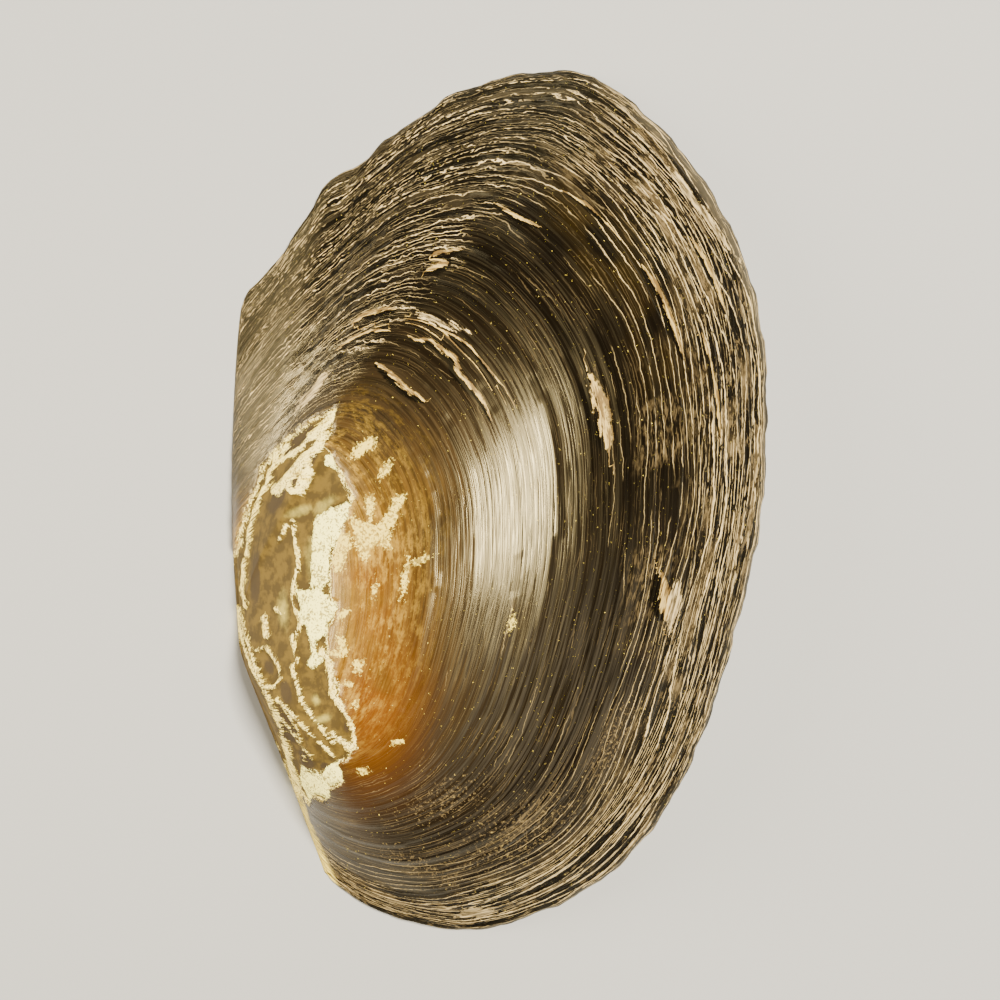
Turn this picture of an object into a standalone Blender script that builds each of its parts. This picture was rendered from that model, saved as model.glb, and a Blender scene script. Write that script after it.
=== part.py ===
# The left valve of a large freshwater mussel, Anodontites trapesialis, lying on its rim.
#
# The valve lies hollow side down. +X runs from the hinge to the belly edge, +Y towards the
# hind end, +Z up out of the rounded outside. The origin is on the resting plane, at the
# middle of the footprint. Sizes are in millimetres and become metres at the end.
import math

import bmesh
import bpy
import numpy as np

MM = 0.001

# The valve is 150 long along Y and 93.6 from hinge to belly edge, as MARGIN draws it
SWELL = 91.0  # radius of the coil that a growing edge turns through, over the belly
COIL_ANGLE = math.radians(88.0)
COIL_POWER = 0.85
FORE_WIDENING = 0.45  # how much wider along the hinge the young shell was than a small copy
HIND_WIDENING = 0.8
WIDENING_FADE = 1.6
HINGE_BOW = 1.5
RIM_WIDTH = 1.7
HINGE_PLATE_WIDTH = 4.2
HOLLOW_SHARE = 0.925  # the hollow's height as a share of the outside's

# The beak, from which every growth line is a larger copy of the one before
BEAK = (-45.4, -24.4)

# The smooth margin, from the fore end of the hinge round the belly to the hind end of the hinge
MARGIN = [
    (-30.4, -65.0),
    (-25.6, -69.0),
    (-16.6, -73.1),
    (-4.4, -74.8),
    (7.9, -71.7),
    (19.6, -65.0),
    (28.8, -54.5),
    (36.2, -39.5),
    (41.8, -21.3),
    (46.0, -1.7),
    (46.8, 14.0),
    (45.2, 34.1),
    (40.3, 48.2),
    (33.3, 59.4),
    (24.6, 68.5),
    (16.8, 73.5),
    (8.9, 75.0),
    (-1.5, 73.2),
    (-12.5, 68.0),
    (-22.5, 59.6),
    (-32.5, 50.2),
    (-39.5, 42.0),
    (-44.8, 33.8),
]

# How far the outside swells on each ray from the beak, as (share of the margin, share of SWELL)
SWELL_BY_RAY = [
    (0.0, 0.0),
    (0.012, 0.17),
    (0.03, 0.36),
    (0.06, 0.56),
    (0.10, 0.73),
    (0.16, 0.87),
    (0.24, 0.95),
    (0.35, 1.0),
    (0.47, 1.01),
    (0.58, 0.98),
    (0.66, 0.92),
    (0.72, 0.85),
    (0.77, 0.77),
    (0.82, 0.645),
    (0.87, 0.50),
    (0.92, 0.36),
    (0.96, 0.235),
    (0.982, 0.135),
    (1.0, 0.0),
]
RIDGE_RAY = 0.765
RIDGE_SPREAD = 0.035
RIDGE_RISE = 0.025

# Bumps and the notch of the margin's hind end above the wing: (ray, spread, distance outwards)
MARGIN_WAVES = [
    (0.872, 0.012, 0.8),
    (0.909, 0.015, 2.2),
    (0.962, 0.014, -0.9),
    (0.990, 0.008, 0.6),
    (0.815, 0.010, 0.4),
    (0.735, 0.012, 0.5),
    (0.52, 0.02, 0.2),
    (0.10, 0.012, 0.35),
]
MARGIN_RAGGEDNESS = 0.6
WAVE_REACH = 9.0  # power of the growth at which the waves fade towards the beak

# Growth rests: the outside steps down where growth stopped for a season
REST_GROWTHS = [
    0.30, 0.38, 0.46, 0.53, 0.59, 0.65, 0.70, 0.75,
    0.795, 0.835, 0.87, 0.90, 0.925, 0.948, 0.968, 0.985,
]
REST_STEP = 0.42
REST_GAP = 0.004
BEAK_RINGS = [0.035, 0.08, 0.13, 0.18]
FIRST_BAND = 0.24  # growth at which the first band between rests begins

# Hollows worn into the old shell near the beak: (x, y, half length, half width, turn, depth)
WORN_HOLLOWS = [
    (-33.5, -1.5, 9.5, 3.8, 78.0, 0.60),
    (-38.0, -14.0, 8.0, 3.6, 84.0, 0.45),
    (-36.0, -33.0, 8.5, 3.4, 100.0, 0.60),
    (-40.5, -26.5, 3.2, 1.8, 115.0, 0.60),
    (-31.0, -46.0, 5.5, 2.6, 112.0, 0.55),
    (-31.5, 9.0, 5.5, 2.0, 58.0, 0.45),
]

# Long chips along the growth lines: (x, y, half length, half width, turn, depth)
CHIPS = [
    (18.8, 15.0, 7.5, 1.7, 95.0, 0.55),
    (-2.2, 15.2, 5.6, 1.5, 118.0, 0.45),
    (-17.0, 20.5, 5.0, 1.4, 138.0, 0.45),
    (26.5, 37.0, 6.5, 1.6, 117.0, 0.45),
    (30.0, -18.5, 6.5, 2.2, 75.0, 0.35),
    (2.0, -28.5, 2.6, 1.1, 80.0, 0.30),
]

# Scars of the two closing muscles inside, as hollows of the same form
MUSCLE_SCARS = [
    (-24.0, -52.0, 8.0, 5.5, 70.0, 0.30),
    (-16.0, 44.0, 9.5, 7.0, 60.0, 0.30),
]

RAY_COUNT = 62
HOLLOW_GROWTHS = [
    0.05, 0.12, 0.20, 0.29, 0.38, 0.47, 0.56, 0.65,
    0.73, 0.80, 0.86, 0.915, 0.96,
]

SHELL_COLOUR = (0.11, 0.085, 0.05, 1.0)
SHELL_ROUGHNESS = 0.42


def cubic_through(places, values, wanted):
    """A natural cubic spline through values at places, read at the wanted places."""
    places = np.asarray(places, float)
    values = np.asarray(values, float).reshape(len(places), -1)
    gaps = np.diff(places)
    slopes = np.diff(values, axis=0) / gaps[:, None]
    count = len(places)
    system = np.eye(count)
    right = np.zeros_like(values)
    for i in range(1, count - 1):
        system[i, i - 1] = gaps[i - 1]
        system[i, i] = 2.0 * (gaps[i - 1] + gaps[i])
        system[i, i + 1] = gaps[i]
        right[i] = 6.0 * (slopes[i] - slopes[i - 1])
    bend = np.linalg.solve(system, right)
    wanted = np.asarray(wanted, float)
    i = np.clip(np.searchsorted(places, wanted, side="right") - 1, 0, count - 2)
    width = gaps[i][:, None]
    after = (wanted - places[i])[:, None]
    before = (places[i + 1] - wanted)[:, None]
    curve = (bend[i] * before**3 + bend[i + 1] * after**3) / (6.0 * width)
    curve += (values[i] / width - bend[i] * width / 6.0) * before
    curve += (values[i + 1] / width - bend[i + 1] * width / 6.0) * after
    return curve


def margin_at(rays):
    """Points of the margin at shares of its length."""
    knots = np.array(MARGIN)
    steps = np.linalg.norm(np.diff(knots, axis=0), axis=1)
    along = np.concatenate([[0.0], np.cumsum(steps)])
    return cubic_through(along / along[-1], knots, rays)


def outward_of(points):
    """Unit vectors in the plane that point out of the margin, at each of its points."""
    ahead = np.gradient(points, axis=0)
    ahead /= np.linalg.norm(ahead, axis=1)[:, None]
    return np.stack([ahead[:, 1], -ahead[:, 0]], axis=1)


def bump(distance, spread):
    return np.exp(-((distance / spread) ** 2))


def swell_at(rays):
    """The coil's radius on each ray, with the crest of the ridge that runs to the hind end."""
    table = np.array(SWELL_BY_RAY)
    share = cubic_through(table[:, 0], table[:, 1], rays)[:, 0]
    share = np.maximum(share, 0.0) + RIDGE_RISE * bump(rays - RIDGE_RAY, RIDGE_SPREAD)
    share[[0, -1]] = 0.0
    return SWELL * share


def coil(growths):
    """Shares of the ground reach and of the swell that a growing edge has at each growth."""
    turn = COIL_ANGLE * (1.0 - growths**COIL_POWER)
    return growths * np.cos(turn), growths * np.sin(turn)


def valve_surface(growths, margin, beak, swell, bow):
    """Points of one side of the valve: a grid of growth lines by rays from the beak."""
    reach, rise = coil(growths)
    arms = margin - beak
    hindness = 1.0 / (1.0 + np.exp(-arms[:, 1] / 12.0))
    widening = FORE_WIDENING + (HIND_WIDENING - FORE_WIDENING) * hindness
    wider = ((growths - reach) * (1.0 - growths) ** WIDENING_FADE)[:, None] * widening[None, :]
    ground = np.empty((len(growths), len(arms), 2))
    ground[:, :, 0] = beak[0] + np.outer(reach, arms[:, 0])
    ground[:, :, 0] -= np.outer((4.0 * reach * (1.0 - reach)) ** 0.7, bow)
    ground[:, :, 1] = beak[1] + (reach[:, None] + wider) * arms[:, 1]
    return np.dstack([ground, np.outer(rise, swell)])


def normals_of(grid):
    """Outward unit normals of a grid of points."""
    along = np.gradient(grid, axis=1)
    growing = np.gradient(grid, axis=0)
    normal = np.cross(growing, along)
    length = np.linalg.norm(normal, axis=2)[:, :, None]
    return normal / np.maximum(length, 1e-9)


def hollow_depth(grid, hollows):
    """How deep oval hollows, seen from above, go at each point."""
    depth = np.zeros(grid.shape[:2])
    for x, y, half_length, half_width, turn, deepest in hollows:
        angle = math.radians(turn)
        east = grid[:, :, 0] - x
        north = grid[:, :, 1] - y
        along = (east * math.cos(angle) + north * math.sin(angle)) / half_length
        across = (north * math.cos(angle) - east * math.sin(angle)) / half_width
        depth = np.maximum(depth, deepest * np.exp(-((along**2 + across**2) ** 2)))
    return depth


def rest_relief(growths, rays):
    """The tiled steps of the growth rests: each band stands up towards its outer edge."""
    starts = np.concatenate([[FIRST_BAND], np.array(REST_GROWTHS) + REST_GAP])
    band = np.clip(np.searchsorted(starts, growths, side="right") - 1, 0, len(starts) - 1)
    ends = np.concatenate([REST_GROWTHS, [1.0]])[band]
    share = np.clip((growths - starts[band]) / (ends - starts[band]), 0.0, 1.0)
    size = REST_STEP * (0.35 + 0.65 * growths**3) * np.where(growths < starts[0], 0.0, 1.0)
    phase = 2.4 * band[:, None] + 2.0 * math.pi * rays[None, :]
    strength = 0.8 + 0.25 * np.sin(2.0 * phase) + 0.20 * np.sin(5.0 * phase + 1.3)
    hind = 1.0 + 0.7 * bump(rays - 0.80, 0.13)
    ends_fade = np.clip(np.minimum(rays, 1.0 - rays) / 0.03, 0.0, 1.0)
    return (size * share**1.6)[:, None] * strength * (hind * ends_fade)[None, :]


def outer_growths():
    """Growth of every ring outside: two at each rest, with one in each band between them."""
    growths = BEAK_RINGS + [FIRST_BAND]
    start = FIRST_BAND
    for end in REST_GROWTHS + [1.0]:
        growths += [0.5 * (start + end), end]
        if end < 1.0:
            start = end + REST_GAP
            growths.append(start)
    return np.array(growths)


def inset_margin(margin, beak, rays):
    """The margin moved inwards by the rim's width, and by the hinge plate's at the hinge."""
    inner = margin - RIM_WIDTH * outward_of(margin)
    hinge = np.array([HINGE_PLATE_WIDTH - RIM_WIDTH, 0.0])
    near = bump(rays, 0.035)[:, None]
    far = bump(1.0 - rays, 0.035)[:, None]
    inner = inner + near * (hinge + (0.4, 1.6)) + far * (hinge + (0.9, -1.2))
    return inner


def build_points():
    """The outer grid, the inner grid and their tips, in millimetres about the footprint's middle."""
    rays = np.linspace(0.0, 1.0, RAY_COUNT + 1)
    margin = margin_at(rays)
    outward = outward_of(margin)
    beak = np.array(BEAK)
    swell = swell_at(rays)
    bow = HINGE_BOW * bump(1.0 - rays, 0.06)

    growths = outer_growths()
    outer = valve_surface(growths, margin, beak, swell, bow)
    waves = sum(size * bump(rays - ray, spread) for ray, spread, size in MARGIN_WAVES)
    outer[:, :, :2] += (growths**WAVE_REACH)[:, None, None] * (waves[:, None] * outward)
    relief = rest_relief(growths, rays)
    relief -= hollow_depth(outer, WORN_HOLLOWS) + hollow_depth(outer, CHIPS)
    held = np.clip((1.0 - growths) / 0.02, 0.0, 1.0)[:, None]
    outer += normals_of(outer) * (relief * held)[:, :, None]
    ragged = MARGIN_RAGGEDNESS * (relief[-1] - relief[-1].mean())
    outer[-1, :, :2] += ragged[:, None] * outward
    outer[:, [0, -1], 2] = 0.0
    outer[-1, :, 2] = 0.0

    inner_beak = beak + (HINGE_PLATE_WIDTH, 0.8)
    inner_rim = inset_margin(outer[-1, :, :2], beak, rays)
    inner_growths = np.array(HOLLOW_GROWTHS + [1.0])
    inner_swell = HOLLOW_SHARE * swell_at(rays)
    inner = valve_surface(inner_growths, inner_rim, inner_beak, inner_swell, 0.6 * bow)
    inner[:, :, 2] += hollow_depth(inner, MUSCLE_SCARS)
    inner[:, [0, -1], 2] = 0.0
    inner[-1, :, 2] = 0.0

    ground = outer[:, :, :2].reshape(-1, 2)
    middle = 0.5 * (ground.min(axis=0) + ground.max(axis=0))
    outer[:, :, :2] -= middle
    inner[:, :, :2] -= middle
    return outer, inner, beak - middle, inner_beak - middle


def skin(mesh, grid, tip, flipped):
    """Faces over a grid of growth lines and the fan that closes it at its tip."""
    rows = [[mesh.verts.new(point * MM) for point in ring] for ring in grid]
    point = mesh.verts.new(tip * MM)

    def face(*corners):
        mesh.faces.new(corners[::-1] if flipped else corners)

    for a, b in zip(rows[0], rows[0][1:]):
        face(point, a, b)
    for low, high in zip(rows, rows[1:]):
        for a, b, c, d in zip(low, low[1:], high[1:], high):
            face(a, d, c)
            face(a, c, b)
    return rows, point


def stitch(mesh, first, second):
    """Triangles between two open rows of points, each taken in turn by its length."""

    def lengths(row):
        steps = [(b.co - a.co).length for a, b in zip(row, row[1:])]
        total = sum(steps)
        reached = [0.0]
        for step in steps:
            reached.append(reached[-1] + step / total)
        return reached

    i = j = 0
    along_first = lengths(first)
    along_second = lengths(second)
    while i < len(first) - 1 or j < len(second) - 1:
        first_next = along_first[i + 1] if i < len(first) - 1 else 2.0
        second_next = along_second[j + 1] if j < len(second) - 1 else 2.0
        if first_next <= second_next:
            mesh.faces.new((first[i], first[i + 1], second[j]))
            i += 1
        else:
            mesh.faces.new((second[j + 1], second[j], first[i]))
            j += 1


def shell_material():
    material = bpy.data.materials.new("shell")
    material.use_nodes = True
    shader = material.node_tree.nodes["Principled BSDF"]
    shader.inputs["Base Color"].default_value = SHELL_COLOUR
    shader.inputs["Roughness"].default_value = SHELL_ROUGHNESS
    shader.inputs["Metallic"].default_value = 0.0
    return material


def make_valve():
    outer, inner, beak, inner_beak = build_points()
    mesh = bmesh.new()
    outer_rows, outer_tip = skin(mesh, outer, np.array([*beak, 0.0]), False)
    inner_rows, inner_tip = skin(mesh, inner, np.array([*inner_beak, 0.0]), True)
    stitch(mesh, outer_rows[-1], inner_rows[-1])
    for side in (0, -1):
        outer_edge = [outer_tip] + [row[side] for row in outer_rows]
        inner_edge = [inner_tip] + [row[side] for row in inner_rows]
        if side == 0:
            stitch(mesh, inner_edge, outer_edge)
        else:
            stitch(mesh, outer_edge, inner_edge)
    bmesh.ops.recalc_face_normals(mesh, faces=mesh.faces)
    data = bpy.data.meshes.new("left_valve")
    mesh.to_mesh(data)
    mesh.free()
    valve = bpy.data.objects.new("left_valve", data)
    bpy.context.collection.objects.link(valve)
    data.materials.append(shell_material())
    data.shade_smooth()
    data.set_sharp_from_angle(angle=math.radians(50.0))
    return valve


def main():
    for existing in list(bpy.data.objects):
        bpy.data.objects.remove(existing, do_unlink=True)
    make_valve()


main()
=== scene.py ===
import math

import bpy
import numpy as np
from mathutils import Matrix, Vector


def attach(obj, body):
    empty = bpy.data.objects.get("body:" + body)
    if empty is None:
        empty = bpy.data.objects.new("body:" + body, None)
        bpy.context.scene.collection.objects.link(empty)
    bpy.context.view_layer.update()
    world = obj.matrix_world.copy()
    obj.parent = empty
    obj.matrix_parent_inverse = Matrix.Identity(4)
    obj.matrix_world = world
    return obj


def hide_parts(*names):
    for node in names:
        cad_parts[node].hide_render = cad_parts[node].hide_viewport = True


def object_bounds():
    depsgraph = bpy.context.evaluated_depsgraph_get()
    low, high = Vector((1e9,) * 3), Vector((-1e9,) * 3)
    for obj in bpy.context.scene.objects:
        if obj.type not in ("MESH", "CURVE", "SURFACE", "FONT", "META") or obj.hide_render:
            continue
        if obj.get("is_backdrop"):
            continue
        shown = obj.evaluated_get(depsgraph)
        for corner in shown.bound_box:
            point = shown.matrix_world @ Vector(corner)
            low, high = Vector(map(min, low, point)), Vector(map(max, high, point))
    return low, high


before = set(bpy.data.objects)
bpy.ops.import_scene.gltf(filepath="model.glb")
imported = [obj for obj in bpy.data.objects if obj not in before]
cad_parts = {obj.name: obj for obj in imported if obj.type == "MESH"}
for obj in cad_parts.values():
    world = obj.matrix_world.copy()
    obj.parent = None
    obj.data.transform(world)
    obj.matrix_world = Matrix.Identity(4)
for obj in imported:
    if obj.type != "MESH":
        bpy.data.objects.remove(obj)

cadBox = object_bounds()
mm = 0.001

# The photograph's view: straight down, with the picture's middle over the shell's middle.
photo = {
    "pixels": 1000,
    "widthAtTable": 174.7,      # mm across the picture at the resting plane
    "cameraHeight": 480.0,
    "sensor": 36.0,
    "clipStart": 0.01,          # m
}

# The valve's form in mm: margin and coil are those of the solid, with finer rings and rays.
valve = {
    "beak": (-45.4, -24.4),
    "swell": 91.0,              # radius of the coil over the belly
    "coilAngle": math.radians(88.0),
    "coilPower": 0.85,
    "foreWidening": 0.45,
    "hindWidening": 0.8,
    "wideningFade": 1.6,
    "hingeBow": 1.5,
    "bowSpread": 0.06,
    "bowFullness": 0.7,
    "hindTurn": 12.0,           # mm over which the widening goes from fore to hind
    "rimWidth": 1.7,
    "hingePlate": 4.2,
    "hollowShare": 0.925,
    "hollowTip": 0.8,           # how far the hollow's beak lies towards the hind end
    "hollowBow": 0.6,
    "cornerSpread": 0.035,      # the hinge plate's ends: in rays, then x and y of each
    "foreCorner": (0.4, 1.6),
    "hindCorner": (0.9, -1.2),
    "discRings": 150,
    "discCrowding": 1.15,
    "hollowCrowding": 0.9,
    "edgeRings": 150,
    "edgeFrom": 0.80,           # growth from which the rings crowd
    "rays": 270,
    "flatEdge": (0.014, 0.008),  # growth at the margin and rays at the hinge with no relief
    "hollowRings": 56,
    "hollowRays": 135,
    "margin": [
        (-30.4, -65.0), (-25.6, -69.0), (-16.6, -73.1), (-4.4, -74.8), (7.9, -71.7),
        (19.6, -65.0), (28.8, -54.5), (36.2, -39.5), (41.8, -21.3), (46.0, -1.7),
        (46.8, 14.0), (45.2, 34.1), (40.3, 48.2), (33.3, 59.4), (24.6, 68.5),
        (16.8, 73.5), (8.9, 75.0), (-1.5, 73.2), (-12.5, 68.0), (-22.5, 59.6),
        (-32.5, 50.2), (-39.5, 42.0), (-44.8, 33.8),
    ],
    "swellByRay": [
        (0.0, 0.0), (0.012, 0.17), (0.03, 0.36), (0.06, 0.56), (0.10, 0.73), (0.16, 0.87),
        (0.24, 0.95), (0.35, 1.0), (0.47, 1.01), (0.58, 0.98), (0.66, 0.92), (0.72, 0.85),
        (0.77, 0.77), (0.82, 0.645), (0.87, 0.50), (0.92, 0.36), (0.96, 0.235),
        (0.982, 0.135), (1.0, 0.0),
    ],
    "ridge": (0.765, 0.035, 0.025),  # ray, spread, rise as a share of the swell
    "scars": [                  # of the closing muscles: x, y, half length, half width, turn, depth
        (-24.0, -52.0, 8.0, 5.5, 70.0, 0.30), (-16.0, 44.0, 9.5, 7.0, 60.0, 0.30),
    ],
    "marginWaves": [            # ray, spread, distance outwards
        (0.872, 0.012, 0.8), (0.909, 0.015, 2.2), (0.962, 0.014, -0.9), (0.990, 0.008, 0.6),
        (0.815, 0.010, 0.4), (0.735, 0.012, 0.5), (0.52, 0.02, 0.2), (0.10, 0.012, 0.35),
    ],
    "waveReach": 9.0,
    "nickReach": 60.0,
    "nickSize": 0.16,
    "nickRates": (170.0, 263.0, 411.0, 607.0),
    "nickEnds": 0.02,
}

# What the growing edge left on the outside, in mm and in shares of the growth.
relief = {
    "Rest Step": 0.40,
    "Rests": 17.0,
    "First Rest": 0.30,
    "Rest Crowding": 1.7,
    "Lamella Height": 0.22,
    "Lamellae": 82.0,
    "Wander": 4.5,
    "Wobble": 0.5,
    "Hind Roughness": 0.26,
    "Hind Lamellae": 120.0,
    "Hind Wobble": 1.9,
    "Wear Depth": 0.35,
    "Seed": 4.0,
}

# Worn and marked places, by where the photograph shows them, in its pixels.
# Outlines are points; ovals are x, y, half length, half width, turn in degrees.
marks = {
    "wornOutlines": [[
        (335, 408), (331, 430), (325, 446), (333, 457), (343, 474), (352, 498), (346, 520),
        (336, 545), (329, 575), (331, 598), (338, 608), (326, 634), (327, 650), (334, 672),
        (341, 700), (353, 728), (357, 748), (345, 760), (338, 766), (345, 782), (331, 790),
        (326, 802), (314, 797), (306, 806), (292, 790), (270, 740), (250, 700), (232, 650),
        (228, 600), (232, 560), (240, 530), (246, 508), (256, 484), (262, 466), (276, 448),
        (292, 434), (310, 420),
    ]],
    "chalkOutlines": [
        [(314, 516), (328, 509), (342, 502), (355, 505), (349, 516), (342, 526), (337, 539), (331, 549),
         (328, 566), (327, 582), (320, 590), (309, 587), (310, 554), (311, 533)],
        [(295, 591), (320, 588), (327, 596), (331, 602), (339, 606), (336, 614), (328, 618), (325, 625),
         (327, 632), (321, 636), (315, 642), (317, 653), (321, 659), (312, 669), (305, 667), (310, 655),
         (304, 628), (299, 612)],
        [(300, 766), (309, 771), (320, 774), (328, 766), (338, 758), (342, 768), (346, 781), (331, 785),
         (329, 790), (331, 802), (321, 796), (313, 795), (309, 803), (302, 794), (298, 778)],
        [(321, 466), (324, 457), (331, 456), (336, 463), (338, 474), (328, 466)],
    ],
    # ridges of cream left on the worn beak: half width in mm, then points
    "crustLines": [
        (0.40, [(237, 608), (240, 640), (248, 664), (261, 690), (273, 716), (282, 744), (291, 778),
                (302, 808)]),
        (1.0, [(333, 408), (328, 418), (320, 429), (309, 437)]),
        (0.6, [(309, 437), (298, 447), (286, 456), (274, 462)]),
        (1.0, [(322, 434), (318, 446), (305, 456), (295, 468), (284, 480), (274, 490)]),
        (0.45, [(274, 462), (268, 470), (265, 484), (258, 498), (251, 515), (247, 533), (244, 555)]),
        (0.7, [(286, 446), (280, 452), (273, 456)]),
        (1.2, [(307, 470), (302, 480), (297, 490)]),
        (0.8, [(297, 492), (288, 490), (284, 486)]),
        (0.35, [(337, 470), (341, 480), (347, 492), (354, 503)]),
        (0.4, [(277, 540), (283, 528), (289, 521), (292, 535), (295, 549), (297, 559), (295, 571), (292, 583),
               (290, 596), (294, 610)]),
        (0.4, [(294, 610), (300, 622), (295, 632), (290, 637), (293, 649), (295, 662), (290, 669), (292, 677),
               (296, 690), (299, 702), (306, 712), (314, 723), (322, 733), (332, 744)]),
        (0.75, [(320, 652), (328, 658), (330, 668), (330, 682), (333, 696), (342, 709), (350, 719),
                (355, 732), (356, 745), (349, 749), (340, 741), (333, 736)]),
        (0.35, [(275, 700), (288, 712), (302, 729), (316, 741), (328, 752), (338, 764)]),
        (0.25, [(270, 706), (283, 728), (296, 745), (310, 760)]),
        (0.25, [(280, 706), (295, 733), (300, 752), (303, 768)]),
        (0.45, [(253, 651), (262, 647), (270, 656), (276, 667), (279, 678), (273, 686), (264, 688)]),
        (0.6, [(260, 618), (262, 627), (264, 636)]),
        (0.35, [(238, 614), (243, 635), (250, 656), (258, 679), (268, 701), (276, 726), (283, 746)]),
        (0.5, [(283, 746), (290, 768), (297, 787), (306, 808)]),
        (0.5, [(272, 609), (278, 613)]),
        (0.45, [(242, 560), (240, 590), (243, 606)]),
    ],
    # cream crusts on the amber; those at its top also stand for a painted highlight
    "goldOutlines": [
        [(348, 514), (356, 519), (367, 523), (379, 526), (384, 518), (391, 507), (394, 496), (407, 495),
         (399, 507), (398, 522), (390, 530), (391, 549), (384, 550), (379, 543), (371, 550), (365, 563),
         (358, 552), (354, 538), (352, 526)],
        [(333, 541), (342, 529), (349, 534), (352, 546), (347, 555), (342, 571), (335, 574), (331, 561)],
        [(349, 456), (356, 446), (367, 438), (377, 437), (375, 446), (366, 452), (356, 459)],
        [(365, 497), (373, 494), (375, 509), (371, 522), (366, 510)],
        [(336, 632), (345, 640), (349, 652), (345, 657), (330, 656), (328, 651), (339, 650)],
        [(354, 659), (364, 659), (361, 674), (354, 673)],
    ],
    "hollows": [                # these have a depth in mm as well
        (307, 497, 40, 18, 62, 0.55), (312, 700, 36, 17, 108, 0.5), (268, 590, 46, 16, 85, 0.4),
        (265, 666, 17, 9, 110, 0.5), (290, 738, 26, 10, 118, 0.4), (300, 800, 16, 9, 110, 0.3),
    ],
    # torn edges of flakes, pale towards the margin, with painted shadow behind: width in mm, then points
    "flakes": [
        (0.9, [(374, 362), (390, 376), (400, 386), (410, 394), (416, 396), (426, 403)]),
        (0.8, [(405, 334), (415, 341), (430, 342), (441, 351), (453, 359), (456, 374), (466, 384), (478, 396),
               (486, 409), (491, 424)]),
        (0.35, [(400, 318), (423, 322), (436, 328), (453, 336), (470, 347), (483, 364), (503, 387),
                (516, 410)]),
        (2.2, [(588, 372), (591, 388), (594, 402), (598, 417), (603, 436), (607, 452)]),
        (0.6, [(492, 202), (513, 216), (529, 223), (541, 229)]),
        (0.8, [(640, 262), (650, 280), (660, 297), (668, 315), (675, 335), (684, 362)]),
        (0.9, [(425, 272), (440, 268), (452, 263)]),
        (0.7, [(430, 257), (448, 254), (464, 249)]),
        (0.7, [(352, 326), (366, 316), (384, 311), (398, 309)]),
        (0.5, [(336, 352), (352, 340), (372, 332), (392, 331)]),
        (0.45, [(560, 190), (585, 206), (606, 224), (622, 242)]),
        (0.5, [(700, 330), (709, 362), (715, 398), (719, 440)]),
        (0.6, [(688, 236), (704, 262), (716, 290), (725, 318)]),
        (1.6, [(660, 572), (659, 590), (661, 606), (664, 622)]),
    ],
    "tan": [                    # patches with their dark skin gone
        (475, 912, 24, 7, 5), (702, 212, 75, 4, 126), (440, 322, 40, 5, 158), (673, 606, 30, 9, 82),
        (312, 392, 34, 6, 52),
    ],
    "amber": [(372, 700, 80, 46, 85), (362, 610, 70, 38, 90)],
    "gold": [                   # small crusts of cream left on the amber
        (398, 742, 7, 3.5, 10), (363, 771, 7, 4, 0), (356, 704, 7, 3.5, 80), (347, 684, 7, 3, 0),
        (512, 622, 11, 4, 80), (405, 578, 24, 3.5, 82), (385, 470, 12, 5, 60), (343, 614, 9, 4, 40),
        (375, 588, 10, 3, 85), (420, 560, 12, 4, 20),
    ],
    "pearl": [                  # where the old nacre is palest
        (322, 505, 22, 10, 40), (312, 560, 34, 13, 92), (280, 610, 30, 10, 95), (313, 700, 10, 6, 100),
        (320, 720, 14, 7, 20), (296, 512, 20, 8, 20),
    ],
    "umber": [                  # brown islands
        (282, 728, 24, 9, 118), (303, 762, 16, 7, 120), (318, 803, 9, 7, 0), (264, 667, 9, 5, 110),
        (300, 470, 30, 7, 50), (275, 498, 24, 7, 62), (252, 580, 34, 5, 88), (284, 692, 14, 7, 100),
        (301, 605, 6, 4, 20), (322, 767, 6, 4, 20), (346, 728, 7, 4, 80), (296, 440, 26, 6, 48),
    ],
    "mottle": [
        (520, 832, 100, 42, 28), (445, 800, 60, 26, 20), (610, 745, 70, 18, 60), (425, 868, 70, 16, 155),
    ],
    "olive": [(600, 245, 85, 34, 132), (655, 350, 70, 20, 110)],
}

farOff = -50.0                  # mm; stands for a place nowhere near a mark

# How the outside and the hollow lie in the map for baking: both spread out from a summit.
unwrap = {
    "centre": (-8.0, -4.0),
    "steepness": 0.8,
    "tiles": [                  # left, low, width and height for outside, inside and rim
        (0.005, 0.005, 0.70, 0.99), (0.72, 0.005, 0.275, 0.45), (0.72, 0.47, 0.275, 0.52),
    ],
}


def cubicThrough(places, values, wanted):
    # a natural cubic spline through values at places, read at the wanted places
    places = np.asarray(places, float)
    values = np.asarray(values, float).reshape(len(places), -1)
    gaps = np.diff(places)
    slopes = np.diff(values, axis=0) / gaps[:, None]
    count = len(places)
    system = np.eye(count)
    right = np.zeros_like(values)
    for i in range(1, count - 1):
        system[i, i - 1] = gaps[i - 1]
        system[i, i] = 2.0 * (gaps[i - 1] + gaps[i])
        system[i, i + 1] = gaps[i]
        right[i] = 6.0 * (slopes[i] - slopes[i - 1])
    bend = np.linalg.solve(system, right)
    wanted = np.asarray(wanted, float)
    i = np.clip(np.searchsorted(places, wanted, side="right") - 1, 0, count - 2)
    width = gaps[i][:, None]
    after = (wanted - places[i])[:, None]
    before = (places[i + 1] - wanted)[:, None]
    curve = (bend[i] * before**3 + bend[i + 1] * after**3) / (6.0 * width)
    curve += (values[i] / width - bend[i] * width / 6.0) * before
    curve += (values[i + 1] / width - bend[i + 1] * width / 6.0) * after
    return curve


def bump(distance, spread):
    return np.exp(-((distance / spread) ** 2))


def smooth(value, low, high):
    share = np.clip((value - low) / (high - low), 0.0, 1.0)
    return share * share * (3.0 - 2.0 * share)


def marginAt(rays):
    knots = np.array(valve["margin"])
    steps = np.linalg.norm(np.diff(knots, axis=0), axis=1)
    along = np.concatenate([[0.0], np.cumsum(steps)])
    return cubicThrough(along / along[-1], knots, rays)


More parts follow.
